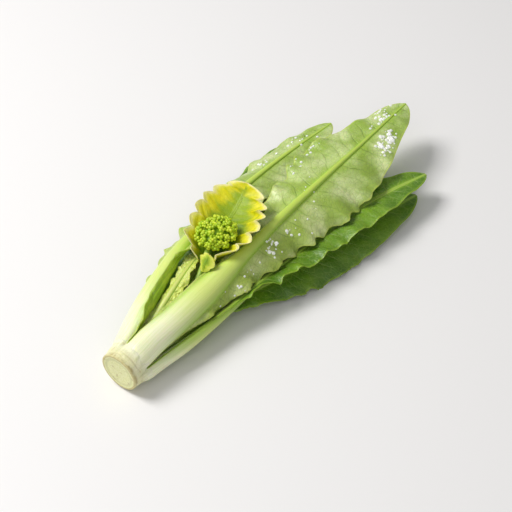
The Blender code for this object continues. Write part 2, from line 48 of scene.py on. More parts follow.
# The butt: its axis above the floor, its collar along X, the radii at the ring of leaf stalks
# and between them, and the gap to the stalks.
AXIS_Z = 15
BUTT_RADIUS = 13.5
BUTT_BEVEL = 0.8
COLLAR_START = 2
COLLAR_END = 14
RING_RADIUS = 12.5
BETWEEN_STALKS = 11.9
CLEAR = 0.7

# A leaf's blade: its thickness, the width over which waves and lobes set in, and where along
# the leaf its round tip starts and how long that is.
BLADE = 0.8
FREE_WIDTH = 6
NARROWEST_BLADE = 0.6
TIP_START = 0.93
TIP_RUN = 0.072
BEND_STEPS = 25


@dataclass(frozen=True)
class Leaf:
    """One leaf. Its tables are pairs of (part of the length, value).

    roll is the angle of the outer face from straight up, towards +Y. The near side of a leaf
    whose outer face is up lies to -Y. A droop pair gives the angles at the rib and at the
    margin by which that half bends away from the outer face. Without near tables both halves
    are alike. facing is -1 for a leaf that shows its inner face. foot is how far its stalk runs
    on below the spine's start, and pale how far up it is pale. quilt is the swell between side
    veins, crumple and crumple_size the height and length of the broad swells, pucker and
    pucker_size those of the small ones.
    """

    name: str
    spine: tuple
    roll: tuple
    far: tuple
    far_droop: tuple
    rib: tuple
    bump: tuple
    keel: tuple
    rows: int
    columns: int
    seed: int
    finish: str = "leaf_inner"
    stations: int = 32
    near: tuple = ()
    near_droop: tuple = ()
    wave: float = 1.5
    wavelength: float = 28
    phase: float = 0
    lobe: float = 0.8
    lobe_length: float = 15
    facing: int = 1
    foot: float = 0
    vein_spacing: float = 9
    quilt: float = 0.24
    crumple: float = 0.5
    crumple_size: float = 17
    pucker: float = 0.14
    pucker_size: float = 3.4
    tooth: float = 0.9
    tooth_length: float = 4.6
    frill: float = 0.8
    frill_length: float = 12
    pale: float = 70
    rounded_lobes: bool = False


# What the two low and the two young leaves share.
LOW = dict(
    rows=230, columns=26, facing=-1, pale=45,
    bump=((0, 1.6), (0.3, 2.4), (0.5, 2), (0.8, 1), (1, 0.3)),
    keel=((0, 2.5), (0.3, 1.2), (0.6, 0.4), (1, 0.1)),
)
YOUNG = dict(
    finish="leaf_young", stations=22, wave=1.2, wavelength=22, rows=120, columns=18, facing=-1,
    pale=25,
    far_droop=((0, 0, 20), (1, 10, 20)),
    bump=((0, 0.8), (0.5, 1), (1, 0.3)),
    keel=((0, 0.5), (1, 0.1)),
)

LEAVES = (
    Leaf(
        "leaf_top", finish="leaf_outer", stations=38, wave=2.4, wavelength=31, lobe=1.2, rows=370,
        columns=38, seed=1, foot=12, vein_spacing=11, crumple=1.1, crumple_size=24, pale=110,
        spine=(
            (15, -6.4, 25.7), (24, -6.4, 27), (45, -7.5, 28.4), (75, -9, 31.2), (110, -9.7, 33.5),
            (150, -9.8, 35.5), (195, -10.5, 36.5), (250, -10.8, 36), (300, -10, 34.8),
        ),
        roll=((0, -30), (0.07, -20), (0.14, -14), (0.32, -6), (0.61, -3), (1, 0)),
        far=(
            (0, 10.2), (0.12, 11.2), (0.21, 10.4), (0.27, 9), (0.34, 7), (0.41, 11), (0.51, 21),
            (0.61, 26), (0.7, 30), (0.79, 25), (0.9, 16), (1, 10),
        ),
        near=(
            (0, 10.2), (0.09, 10.4), (0.14, 12.5), (0.2, 14.6), (0.29, 17.8), (0.4, 22), (0.53, 28),
            (0.7, 31), (0.79, 26), (0.9, 16.5), (1, 10),
        ),
        far_droop=((0, 0, 46), (0.12, 5, 25), (0.27, 5, 5), (0.41, 20, 30), (0.56, 8, 18), (1, 5, 10)),
        near_droop=((0, 0, 46), (0.1, 10, 42), (0.22, 20, 38), (0.41, 18, 40), (0.61, 12, 30), (1, 5, 8)),
        rib=(
            (0, 9.6), (0.12, 9.4), (0.2, 9), (0.26, 7.4), (0.32, 5.4), (0.38, 4), (0.5, 2.9),
            (0.68, 1.8), (0.86, 1), (1, 0.7),
        ),
        bump=((0, 3), (0.22, 3.6), (0.32, 3.4), (0.51, 2.4), (0.71, 1.5), (1, 0.4)),
        keel=((0, 5), (0.12, 4.5), (0.27, 2.5), (0.41, 1.2), (0.61, 0.5), (1, 0.1)),
    ),
    Leaf(
        "leaf_left", finish="leaf_outer", wave=1.8, phase=1, rows=320, columns=34, seed=2, foot=4.5,
        vein_spacing=11, crumple=0.8, pale=110, frill=1,
        spine=(
            (15, 10.8, 21.2), (26, 13.6, 23.4), (37, 16.2, 25.1), (50, 19.2, 26.3), (64, 22.8, 27.2),
            (92, 29, 28.5), (125, 32, 28.5), (165, 34, 26.5), (215, 33, 23.5), (262, 28.5, 22),
        ),
        roll=((0, 60), (0.05, 40), (0.12, 24), (0.25, 20), (0.56, 16), (0.76, 12), (1, 5)),
        far=(
            (0, 8.6), (0.06, 9.2), (0.12, 10.2), (0.2, 11.6), (0.3, 13.5), (0.37, 17), (0.51, 22),
            (0.66, 24), (0.81, 20), (0.92, 13), (1, 8),
        ),
        near=(
            (0, 8.6), (0.03, 9.2), (0.06, 11), (0.1, 11.9), (0.15, 11.8), (0.22, 11.2), (0.28, 10.6),
            (0.34, 11), (0.4, 12), (0.46, 14), (0.61, 18), (0.76, 19), (0.9, 13), (1, 8),
        ),
        far_droop=((0, 0, 35), (0.1, 5, 35), (0.22, 10, 30), (0.51, 15, 35), (0.81, 10, 25), (1, 5, 10)),
        near_droop=(
            (0, 0, 38), (0.03, 0, 30), (0.06, 10, -20), (0.1, 25, -90), (0.15, 30, -120),
            (0.22, 30, -120), (0.28, 20, -95), (0.34, 15, -40), (0.4, 15, 10), (0.46, 15, 15),
            (0.61, 25, 25), (1, 5, 5),
        ),
        rib=(
            (0, 8), (0.06, 8.6), (0.12, 9.3), (0.2, 8.6), (0.28, 6.8), (0.36, 4.6), (0.46, 3.5),
            (0.61, 2.5), (0.81, 1.4), (1, 0.7),
        ),
        bump=((0, 3.4), (0.17, 3.4), (0.32, 2.8), (0.51, 1.8), (0.81, 0.9), (1, 0.3)),
        keel=((0, 4.5), (0.17, 3.5), (0.37, 1.6), (0.61, 0.5), (1, 0.1)),
    ),
    Leaf(
        "leaf_right", wave=1.8, phase=2.2, rows=300, columns=30, seed=3, foot=12, facing=-1, pale=80,
        spine=(
            (15, -11.6, 10.5), (24, -13.2, 11.2), (40, -16.5, 12.6), (70, -20.4, 15.2),
            (110, -22.5, 17.2), (150, -27, 17.5), (192, -34, 19), (230, -44, 19.5), (260, -54, 19),
        ),
        roll=((0, -111), (0.14, -106), (0.32, -138), (0.47, -160), (0.71, -170), (1, -175)),
        far=(
            (0, 6.2), (0.13, 6.2), (0.24, 6.4), (0.37, 12.2), (0.51, 18), (0.66, 19), (0.81, 17),
            (0.92, 11), (1, 7),
        ),
        near=(
            (0, 6.2), (0.13, 6.2), (0.22, 6.6), (0.37, 12), (0.51, 17), (0.66, 18), (0.81, 16),
            (0.92, 11), (1, 7),
        ),
        far_droop=((0, 0, 20), (0.32, 0, 0), (0.61, 5, -10), (1, 5, 0)),
        near_droop=((0, 0, 28), (0.17, 5, 35), (0.32, 12, 30), (0.61, 10, 18), (1, 5, 15)),
        rib=((0, 5.8), (0.09, 6.2), (0.17, 5.8), (0.32, 4.4), (0.51, 2.8), (0.81, 1.4), (1, 0.7)),
        bump=((0, 3.4), (0.17, 3.2), (0.32, 2.4), (0.51, 1.7), (0.81, 0.9), (1, 0.3)),
        keel=((0, 3.2), (0.17, 2.2), (0.37, 1.2), (0.61, 0.4), (1, 0.1)),
    ),
    Leaf(
        "leaf_low_right", **LOW, phase=3.1, seed=4,
        spine=(
            (27, -5, 7.3), (50, -6.6, 7.9), (75, -10.2, 8.8), (105, -18.5, 9.6), (140, -29, 9.2),
            (190, -40.5, 8.8), (225, -47.5, 7.5), (250, -54, 6.5),
        ),
        roll=((0, -138), (0.1, -165), (0.3, -174), (1, -178)),
        far=(
            (0, 3.6), (0.1, 4.6), (0.2, 5.5), (0.28, 9), (0.4, 16), (0.6, 21), (0.8, 18), (0.93, 12),
            (1, 7),
        ),
        near=((0, 3.6), (0.1, 4.6), (0.2, 7), (0.4, 14), (0.6, 17), (0.8, 16), (0.93, 11), (1, 7)),
        far_droop=((0, 0, 20), (0.2, 0, 0), (0.5, -11, -34), (0.8, -6, -20), (1, 0, 0)),
        near_droop=((0, 0, 20), (0.2, 0, 10), (0.5, 5, 12), (1, 5, 10)),
        rib=((0, 3.4), (0.2, 3.8), (0.4, 3), (0.6, 2.2), (0.8, 1.4), (1, 0.7)),
    ),
    Leaf(
        "leaf_low_left", **LOW, phase=4, seed=5,
        spine=(
            (28, 7.9, 11.4), (50, 14, 10.2), (95, 24, 9.6), (140, 33, 9.2), (190, 41, 8.8),
            (240, 46, 7),
        ),
        roll=((0, 113), (0.08, 140), (0.2, 165), (0.35, 172), (1, 178)),
        far=((0, 4.2), (0.1, 7), (0.2, 10), (0.4, 14), (0.6, 17), (0.8, 15), (0.93, 10), (1, 7)),
        near=((0, 4.2), (0.1, 7), (0.2, 11), (0.4, 17), (0.6, 20), (0.8, 17), (0.93, 11), (1, 7)),
        far_droop=((0, 0, 20), (0.2, 0, 10), (0.5, 5, 12), (1, 5, 10)),
        near_droop=((0, 0, 20), (0.2, 0, 0), (0.5, -14, -42), (0.8, -8, -24), (1, 0, 0)),
        rib=((0, 4), (0.2, 4), (0.4, 3), (0.6, 2.2), (0.8, 1.4), (1, 0.7)),
    ),
    Leaf(
        "leaf_bottom", wave=1.2, phase=0.6, rows=220, columns=24, seed=6, foot=12, facing=-1, crumple=0,
        quilt=0.1,
        spine=(
            (15, 3.4, 3), (50, 2.5, 2.7), (95, 0, 2.6), (150, -1, 2.3), (205, 1, 2.1), (240, 2, 2.3),
            (262, 2.5, 4.5),
        ),
        roll=((0, 164), (0.17, 178), (0.42, 180), (1, 180)),
        far=(
            (0, 5.8), (0.13, 8), (0.22, 12), (0.37, 17), (0.51, 22), (0.71, 23), (0.85, 18), (0.95, 12),
            (1, 8),
        ),
        near=(
            (0, 5.8), (0.13, 6.6), (0.22, 8.5), (0.37, 16), (0.51, 22), (0.71, 23), (0.85, 18),
            (0.95, 12), (1, 8),
        ),
        far_droop=((0, 0, 26), (0.13, 5, 15), (0.32, 3, 6), (1, 3, 8)),
        rib=((0, 5.6), (0.22, 5.4), (0.42, 4), (0.61, 3), (0.81, 2.4), (1, 1)),
        bump=((0, 3), (0.32, 2.9), (0.61, 2.5), (0.9, 2.2), (1, 0.6)),
        keel=((0, 2.4), (0.22, 1.4), (0.42, 0.8), (1, 0.1)),
    ),
    Leaf(
        "inner_leaf_crinkled", finish="leaf_young", stations=20, wave=1, wavelength=13, lobe=0.5,
        lobe_length=8, rows=150, columns=26, seed=7, foot=9, vein_spacing=6, quilt=0.3, pucker=0.75,
        pucker_size=3.6, tooth=0.6, tooth_length=3, frill=0.7, frill_length=7, pale=25,
        spine=(
            (31, 4.6, 20.9), (40, 5.8, 23.6), (50, 7.2, 26.8), (64, 9.2, 30), (78, 12, 30.6),
            (92, 15.6, 28), (108, 18.5, 24),
        ),
        roll=((0, 5), (1, 0)),
        far=((0, 7.6), (0.08, 7.8), (0.18, 5), (0.3, 4.4), (0.5, 4.8), (0.7, 7), (0.85, 8), (1, 4)),
        near=((0, 3), (0.2, 5), (0.42, 6.5), (0.55, 6.6), (0.66, 5.2), (1, 3)),
        far_droop=((0, 5, 40), (0.4, 10, 30), (1, 5, 30)),
        near_droop=((0, 0, 10), (0.4, 5, 20), (0.6, -10, -40), (0.8, -5, -20), (1, 5, 15)),
        rib=((0, 2.2), (0.5, 1.6), (1, 0.8)),
        bump=((0, 1), (0.5, 0.8), (1, 0.3)),
        keel=((0, 0.6), (1, 0.1)),
    ),
    Leaf(
        "inner_leaf_middle", **YOUNG, phase=1.5, seed=8,
        spine=((43, -3, 21.8), (90, -7, 23.5), (150, -8, 25.5), (205, -4, 23.5)),
        roll=((0, -10), (1, 0)),
        far=((0, 3), (0.2, 4.5), (0.5, 11), (0.8, 12), (1, 5)),
        near=((0, 3), (0.2, 6), (0.5, 12), (0.8, 9), (1, 5)),
        rib=((0, 2.6), (0.5, 1.8), (1, 0.8)),
    ),
    Leaf(
        "inner_leaf_side", **YOUNG, phase=2.5, seed=9,
        spine=((42, 5, 12.5), (90, 13, 14), (150, 21, 16.5), (205, 22, 16)),
        roll=((0, 130), (0.3, 165), (1, 175)),
        far=((0, 3), (0.15, 8), (0.5, 12), (0.8, 12), (1, 5)),
        near=((0, 3), (0.15, 8), (0.5, 12), (0.8, 11), (1, 5)),
        rib=((0, 2.2), (0.5, 1.6), (1, 0.8)),
    ),
    Leaf(
        "flower_bract", finish="bract", stations=24, wave=0.4, wavelength=9, lobe=1.5, lobe_length=11,
        rows=190, columns=44, seed=10, facing=-1, vein_spacing=7, quilt=0.45, pucker=0.05,
        tooth=0, frill=0.15, frill_length=11, pale=8, rounded_lobes=True,
        spine=(
            (91, 6.2, 28.8), (97, 8.6, 30.8), (107, 11.5, 33.2), (122, 14.5, 35.2), (137, 17, 38.5),
            (147, 18.5, 44), (151, 19, 49.5),
        ),
        roll=((0, 180), (1, 180)),
        far=((0, 10.5), (0.06, 17), (0.15, 23.5), (0.3, 27), (0.7, 26), (0.87, 18), (1, 10)),
        near=((0, 10), (0.08, 15.5), (0.2, 20.5), (0.35, 22), (0.7, 22.5), (0.87, 17), (1, 10)),
        far_droop=((0, 18, 110), (0.1, 12, 80), (0.25, 3, 58), (0.4, 3, 56), (0.7, 4, 56), (1, 5, 20)),
        near_droop=((0, 20, 120), (0.1, 10, 90), (0.2, 4, 72), (0.35, 3, 64), (0.7, 4, 56), (1, 5, 20)),
        rib=((0, 1.8), (0.5, 1.4), (1, 0.8)),
        bump=((0, 0.8), (0.5, 0.6), (1, 0.2)),
        keel=((0, 0.3), (1, 0.1)),
    ),
    Leaf(
        "flower_bractlet", finish="bract", stations=9, wave=0.5, wavelength=9, lobe=0.6, lobe_length=7,
        rows=60, columns=18, seed=11, vein_spacing=4, quilt=0.15, crumple=0.2, pucker=0.05, tooth=0.2,
        tooth_length=3, frill=0.2, pale=4, rounded_lobes=True,
        spine=((83, 1.8, 33.5), (84.5, 1.6, 37), (86.5, 1.2, 40.5), (89, 0.8, 44)),
        roll=((0, 0), (1, 0)),
        far=((0, 2), (0.3, 4.6), (0.6, 6), (0.85, 4.8), (1, 3.2)),
        far_droop=((0, 5, 30), (1, 5, 40)),
        rib=((0, 1), (1, 0.5)),
        bump=((0, 0.5), (1, 0.1)),
        keel=((0, 0.2), (1, 0.1)),
    ),
)

# Where each leaf stalk of the outer ring meets the collar: degrees from +Y towards +Z.
RING = {"leaf_top": 121, "leaf_left": 30, "leaf_right": 201, "leaf_bottom": 286}
CORE = ((COLLAR_END, 6.5), (30, 5.5), (40, 4.2), (50, 3.2))

FLOWER_STALK = (
    (54, 1, 16.3), (62, 1.5, 18.5), (72, 2, 23), (82, 3.5, 29),
    (90, 6, 33.5), (98, 9.5, 36.5), (106, 13, 39.5),
)
STALK_RADII = (2.3, 1.7)
HEAD_CENTRE = np.array((107.8, 10.4, 41.7))
HEAD_HALF = np.array((12.2, 11, 6.3))


def through(keys, at):
    """Values at the given places of a smooth curve through (place, value) keys."""
    keys = np.array(keys, float)
    places = keys[:, 0]
    values = keys[:, 1:]
    slopes = np.gradient(values, places, axis=0)
    at = np.clip(np.asarray(at, float), places[0], places[-1])
    k = np.clip(np.searchsorted(places, at, side="right") - 1, 0, len(places) - 2)
    span = (places[k + 1] - places[k])[:, None]
    t = (at[:, None] - places[k][:, None]) / span
    rise = t * t * (3 - 2 * t)
    leave = t * (1 - t) ** 2 * span * slopes[k]
    arrive = t * t * (t - 1) * span * slopes[k + 1]
    return values[k] * (1 - rise) + values[k + 1] * rise + leave + arrive


def route(points, at):
    """Points on a smooth curve through the given points, at parts of its length."""
    points = np.array(points, float)
    steps = np.linalg.norm(np.diff(points, axis=0), axis=1)
    places = np.append(0, np.cumsum(steps)) / steps.sum()
    return through(np.column_stack((places, points)), at)


def unit(vectors):
    return vectors / np.linalg.norm(vectors, axis=-1, keepdims=True)


def swell(share):
    """Height of a rib's rounded face, from 1 at its middle to 0 at its edges."""
    return np.clip(1 - np.abs(share) ** 2.6, 0, 1) ** 0.6


def tip_rounding(part):
    """Narrows the last stretch of a leaf to a round tip."""
    run = np.clip((part - TIP_START) / TIP_RUN, 0, 1)
    return np.sqrt(1 - run**2)


def side_angles(droop, part, share):
    """Bend of a half blade at shares of its width, for every station."""
    pair = through(droop, part)
    return np.radians(pair[:, :1] + (pair[:, 1:] - pair[:, :1]) * share)


RIB_COLUMNS = 7
TIP_ROWS = 26
# A blade thins to this share of its thickness at its margin.
MARGIN_THIN = 0.45
# Width of the furrow over a side vein, and length from the foot over which leaves pucker more.
FURROW_WIDTH = 1.7
PUCKERED_LENGTH = 130
# Depth of the furrows along a rib, and how fast the foot sinks into the collar.
FURROW_DEPTH = 0.1
FOOT_TUCK = 0.028
ABOVE_FLOOR = 0.02
KNOTS = 97


def noise(x, y, seed):
    """Smooth noise from -1 to 1, with one knot in each unit square."""
    knots = np.random.default_rng(seed).uniform(-1, 1, (KNOTS, KNOTS))
    i = np.floor(x).astype(int)
    j = np.floor(y).astype(int)
    u = x - i
    v = y - j
    u = u * u * (3 - 2 * u)
    v = v * v * (3 - 2 * v)
    left = i % KNOTS
    right = (i + 1) % KNOTS
    rows = []
    for row in (j % KNOTS, (j + 1) % KNOTS):
        rows.append(knots[left, row] * (1 - u) + knots[right, row] * u)
    return rows[0] * (1 - v) + rows[1] * v


def cushions(x, y, seed):
    """Rounded cells that cover the plane, one in each unit square: 1 in the middle, 0 between."""
    draw = np.random.default_rng(seed).uniform(0.1, 0.9, (2, KNOTS, KNOTS))
    i = np.floor(x).astype(int)
    j = np.floor(y).astype(int)
    nearest = np.full(x.shape, 9.0)
    second = np.full(x.shape, 9.0)
    for di, dj in np.ndindex(3, 3):
        a = i + di - 1
        b = j + dj - 1
        spot = draw[:, a % KNOTS, b % KNOTS]
        away = np.hypot(a + spot[0] - x, b + spot[1] - y)
        second = np.minimum(second, np.maximum(nearest, away))
        nearest = np.minimum(nearest, away)
    return np.sqrt(np.clip((second - nearest) * 1.6, 0, 1))


def station_rows(leaf, length):
    """Parts of the length, dense enough in the tip for a round outline; the foot starts below 0."""
    body = np.linspace(-leaf.foot / length, TIP_START, leaf.rows)
    turn = np.linspace(0, np.pi / 2, TIP_ROWS + 1)[1:]
    return np.append(body, TIP_START + TIP_RUN * np.sin(turn))


def fade(part, end, run, least=0):
    """1 over most of a leaf, and down to the least over the last run before the end."""
    return np.clip((end - part) / run, least, 1)


def lobe_angle(leaf, side, along):
    return 2 * np.pi * along / leaf.lobe_length + leaf.phase + side


def lobe_height(leaf, side, part, along):
    """Broad lobes of a margin: rounded scallops, or waves of uneven size that end early."""
    turn = lobe_angle(leaf, side, along)
    if leaf.rounded_lobes:
        return leaf.lobe * (2.6 * np.abs(np.cos(turn / 2)) ** 0.7 - 1.6)
    stray = turn + 0.9 * np.sin(0.31 * turn + leaf.seed)
    size = np.clip(0.6 + 0.9 * noise(turn / 9 + 30, leaf.seed, leaf.seed), 0.1, 1.4)
    return 1.5 * leaf.lobe * size * np.cos(stray) * fade(part, 0.82, 0.3)


def tooth_height(leaf, side, part, along):
    """Small teeth of a margin, which lean towards the tip and end before it."""
    run = along / leaf.tooth_length + 0.7 * np.sin(along / 6.1 + 2 * side + leaf.seed) + side
    saw = run - np.floor(run)
    size = 0.45 + 0.55 * noise(along / 11, 5 * side, leaf.seed)
    teeth = leaf.tooth * np.clip(size, 0, 1) * np.minimum(saw / 0.75, (1 - saw) / 0.25)
    return teeth * fade(part, 0.84, 0.25)


def vein_phase(leaf, side, along, out):
    """Side veins passed up to a point. They leave the rib nearly square and sweep to the tip."""
    sweep = 0.3 * out + 0.012 * out**2
    stray = 2.2 * np.sin(along / 15 + 2 * side + leaf.seed)
    stray = stray + 1.3 * np.sin(along / 6.3 + out / 7 + 1.7 * leaf.seed + side)
    stray = stray + 2.5 * noise(along / 14, out / 12 + 30 + 5 * side, leaf.seed + 7)
    return (along - sweep + stray) / leaf.vein_spacing + 0.37 * side


def bend_blade(droop, part, width, share):
    """Runs across and down of a bent half blade at shares of its width, and its bend there."""
    fine = np.linspace(0, 1, BEND_STEPS)
    angles = side_angles(droop, part, fine)
    step = width[:, None] * fine[1]
    runs = []
    for slope in (np.cos(angles), np.sin(angles)):
        steps = (slope[:, 1:] + slope[:, :-1]) / 2 * step
        run = np.column_stack((np.zeros(len(part)), np.cumsum(steps, axis=1)))
        runs.append(np.array([np.interp(s, fine, r) for s, r in zip(share, run)]))
    return *runs, side_angles(droop, part, share)


def margin_waves(leaf, side, part, along, out):
    """Height of a half blade's ripples, of the pleats of rounded lobes and of the frill."""
    turn = 2 * np.pi * along / leaf.wavelength + leaf.phase + 1.7 * side
    ripple = (np.sin(turn) + 0.4 * np.sin(1.7 * turn + 1)) * leaf.wave
    height = (ripple * np.clip(0.2 + 2.2 * (1 - part), 0, 1))[:, None] * out**1.5
    if leaf.rounded_lobes:
        pleats = np.abs(np.cos(lobe_angle(leaf, side, along) / 2)) ** 0.7 - 0.6
        height = height + (1.4 + side) * leaf.lobe * pleats[:, None] * out**1.8 + out**4
    turn = 2 * np.pi * along / leaf.frill_length + 1.3 * leaf.seed + side
    frill = (np.sin(turn) + 0.5 * np.sin(1.62 * turn + 2)) * leaf.frill
    return height + (frill * fade(part, 0.93, 0.35, 0.1))[:, None] * out**3


def skin_relief(leaf, side, place, distance, out, phase):
    """Height of the swells of a half blade, and of those between its veins and its puckers alone."""
    gap = np.abs(phase - np.round(phase)) * leaf.vein_spacing
    between = 1 - np.exp(-((gap / FURROW_WIDTH) ** 2))
    uneven = 0.75 + 0.6 * noise(place / 23 + 50, side * distance / 19 + 50, leaf.seed + 90)
    between = between * np.clip(uneven, 0.2, 1.2)
    x = place / leaf.pucker_size
    y = side * distance / leaf.pucker_size
    small = cushions(x + 0.4 * noise(x, y, leaf.seed), y, leaf.seed)
    size = leaf.crumple_size
    broad = noise(place / size, side * distance / (0.75 * size) + 40, leaf.seed)
    broad = broad + 0.35 * noise(place / 8, side * distance / 7 + 20, leaf.seed + 50)
    pucker = leaf.pucker * (1 + 2 * np.clip(1 - place / PUCKERED_LENGTH, 0, 1))
    veined = leaf.quilt * between
    relief = veined + pucker * (small - 0.5) + leaf.crumple * broad * out * (1 - out**4)
    return relief, veined + pucker * small


def fine_half(leaf, side, part, length):
    """One half of a leaf, with its lobes, teeth, waves and relief.

    Gives the offsets across and outwards, the relief, and what the skin is coloured by: place
    along and signed distance from the rib, vein phase, share of the blade, rib share, height of
    the swells, way to the margin and paleness.
    """
    table = leaf.far if side > 0 else leaf.near or leaf.far
    droop = leaf.far_droop if side > 0 else leaf.near_droop or leaf.far_droop
    rounding = tip_rounding(part)
    rib = np.minimum(through(leaf.rib, part)[:, 0], 10 * rounding + 0.3)
    along = part * length
    width = through(table, part)[:, 0]
    free = np.clip((width - rib) / FREE_WIDTH, 0, 1)
    edge = lobe_height(leaf, side, part, along) + tooth_height(leaf, side, part, along)
    width = np.maximum((width + edge * free) * rounding, rib + NARROWEST_BLADE)
    free = (free * rounding)[:, None]
    cells = 1 - (1 - np.linspace(0, 1, leaf.columns + 1)[1:]) ** 1.15
    blade = rib[:, None] + (width - rib)[:, None] * cells
    ridge = rib[:, None] * np.sin(np.linspace(0, np.pi / 2, RIB_COLUMNS + 1))
    distance = np.column_stack((ridge, blade))
    rib_share = np.clip(distance / rib[:, None], 0, 1)
    out = np.clip((distance - rib[:, None]) / np.maximum(width - rib, 1)[:, None], 0, 1)
    across, down, bend = bend_blade(droop, part, width, distance / width[:, None])
    height = margin_waves(leaf, side, part, along, out) * free
    across = side * (across + height * np.sin(bend))

    beyond = np.maximum(distance - rib[:, None], 0)
    place = along[:, None] + 0 * distance
    phase = vein_phase(leaf, side, place, beyond)
    relief, shade = skin_relief(leaf, side, place, distance, out, phase)
    relief = relief * free * np.clip(beyond / 2.5, 0, 1) * (1 - 0.8 * out**6)
    margin = width[:, None] - distance
    pale = np.clip(1 - place / leaf.pale, 0, 1)
    skin = (place, side * distance, phase, out, rib_share, shade, margin, pale)
    return across, height * np.cos(bend) - down, relief, np.stack(skin, axis=-1)


def fine_surface(leaf):
    """Outer and inner faces of a leaf, and what its skin is coloured by, at every grid point."""
    coarse = route(leaf.spine, np.linspace(0, 1, leaf.stations))
    length = np.linalg.norm(np.diff(coarse, axis=0), axis=1).sum()
    part = station_rows(leaf, length)
    base = np.clip(part, 0, 1)
    along = unit(route(leaf.spine, base + 0.004) - route(leaf.spine, base - 0.004))
    points = route(leaf.spine, base) + along * ((part - base) * length)[:, None]
    level = unit(np.cross((0, 0, 1), along))
    above = np.cross(along, level)
    roll = np.radians(through(leaf.roll, part))
    outward = np.cos(roll) * above + np.sin(roll) * level
    sideways = np.cos(roll) * level - np.sin(roll) * above
    far = fine_half(leaf, 1, part, length)
    near = fine_half(leaf, -1, part, length)
    joined = [np.concatenate((n[:, :0:-1], f), axis=1) for n, f in zip(near, far)]
    across, rise, relief, skin = joined
    share = skin[..., 4]
    middle = across[..., None] * sideways[:, None] + rise[..., None] * outward[:, None]
    middle += points[:, None]
    normals = unit(np.cross(np.gradient(middle, axis=0), np.gradient(middle, axis=1)))
    thick = BLADE / 2 * (1 - (1 - MARGIN_THIN) * skin[..., 3] ** 4)
    tuck = FOOT_TUCK * (np.maximum(-part, 0)[:, None] * length) ** 2
    furrow = FURROW_DEPTH * np.cos(9 * np.pi * share) * np.clip(2 - 2 * share, 0, 1)
    furrow = furrow * np.clip(1 - part, 0, 1)[:, None]
    bump = thick + through(leaf.bump, part) * (swell(share) + furrow) - tuck
    keel = thick + through(leaf.keel, part) * swell(share)
    outer = middle + normals * (bump + leaf.facing * relief)[..., None]
    inner = middle - normals * (keel - leaf.facing * relief)[..., None]
    sunk = np.maximum(ABOVE_FLOOR - outer[..., 2], 0)
    outer[..., 2] += sunk
    inner[..., 2] += sunk
    return outer, inner, skin, part


def grid_quads(rows, columns, first, flip):
    a = first + (np.arange(rows - 1)[:, None] * columns + np.arange(columns - 1)).ravel()
    quads = np.stack((a, a + columns, a + columns + 1, a + 1), axis=1)
    return quads[:, ::-1] if flip else quads


def shell_quads(rows, columns):
    """Quads of a thin closed leaf: outer grid, inner grid, margins and both ends."""
    size = rows * columns
    loop = np.concatenate((
        np.arange(columns),
        np.arange(1, rows) * columns + columns - 1,
        (rows - 1) * columns + np.arange(columns - 2, -1, -1),
        np.arange(rows - 2, 0, -1) * columns,
    ))
    after = np.roll(loop, -1)
    rim = np.stack((loop, after, after + size, loop + size), axis=1)
    outer = grid_quads(rows, columns, 0, False)
    return np.concatenate((outer, grid_quads(rows, columns, size, True), rim))


def add_object(name, data):
    """An object of a mesh, a light or a camera, in the scene."""
    made = bpy.data.objects.new(name, data)
    bpy.context.scene.collection.objects.link(made)
    return made


def make_object(name, points, faces, material, attributes=()):
    """A smooth mesh object from points in millimetres, with named vectors at its points."""
    mesh = bpy.data.meshes.new(name)
    points = (np.asarray(points) + SHIFT) * MM
    mesh.from_pydata(points.tolist(), [], [tuple(face) for face in faces])
    mesh.update()
    for title, values in attributes:
        layer = mesh.attributes.new(title, "FLOAT_VECTOR", "POINT")
        layer.data.foreach_set("vector", np.asarray(values, np.float32).ravel())
    mesh.materials.append(material)
    mesh.shade_smooth()
    mesh.set_sharp_from_angle(angle=SMOOTH_ANGLE)
    return add_object(name, mesh)


def make_leaf(leaf):
    """A finely made leaf. Its grid is returned too, for what lies on it."""
    outer, inner, skin, part = fine_surface(leaf)
    rows, columns = outer.shape[:2]
    points = np.concatenate((outer.reshape(-1, 3), inner.reshape(-1, 3)))
    face = np.repeat((0, 1), rows * columns)
    both = np.tile(skin.reshape(-1, skin.shape[-1]), (2, 1))
    place = np.column_stack((both[:, :2], face))
    attributes = (("place", place), ("vein", both[:, 2:5]), ("tone", both[:, 5:]))
    material = materials.get(leaf.name, materials[leaf.finish])
    made = make_object(leaf.name + "_skin", points, shell_quads(rows, columns), material, attributes)
    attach(made, "root")
    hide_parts(leaf.name)
    return outer, skin, part


def collar_radius(x, angle):
    """Radius of the butt, which swells towards the foot of each leaf stalk."""
    blend = np.clip((x - COLLAR_START) / (COLLAR_END - COLLAR_START), 0, 1) ** 1.5
    lobed = np.full_like(angle, BETWEEN_STALKS)
    for leaf in LEAVES:
        if leaf.name in RING:
            half = leaf.rib[0][1] / RING_RADIUS
            turn = (angle - np.radians(RING[leaf.name]) + np.pi) % (2 * np.pi) - np.pi
            foot = RING_RADIUS + BLADE / 2 + leaf.bump[0][1] * swell(np.clip(turn / half, -1, 1))
            lobed = np.maximum(lobed, np.where(np.abs(turn) <= half, foot, 0))
    return BUTT_RADIUS * (1 - blend) + lobed * blend


STEM_SIDES = 180
CUT_RINGS = 22
COLLAR_RINGS = 56
# Old leaf scars on the butt: angle, half width, place along X and rise of the ends.
SCARS = (
    (30, 42, 9.4, 1), (121, 46, 5, 2), (201, 30, 6, 2), (286, 34, 6, 2), (75, 26, 3.5, -1.5),
)
SCAR_WIDTH = 0.45
SCAR_DEPTH = 0.18


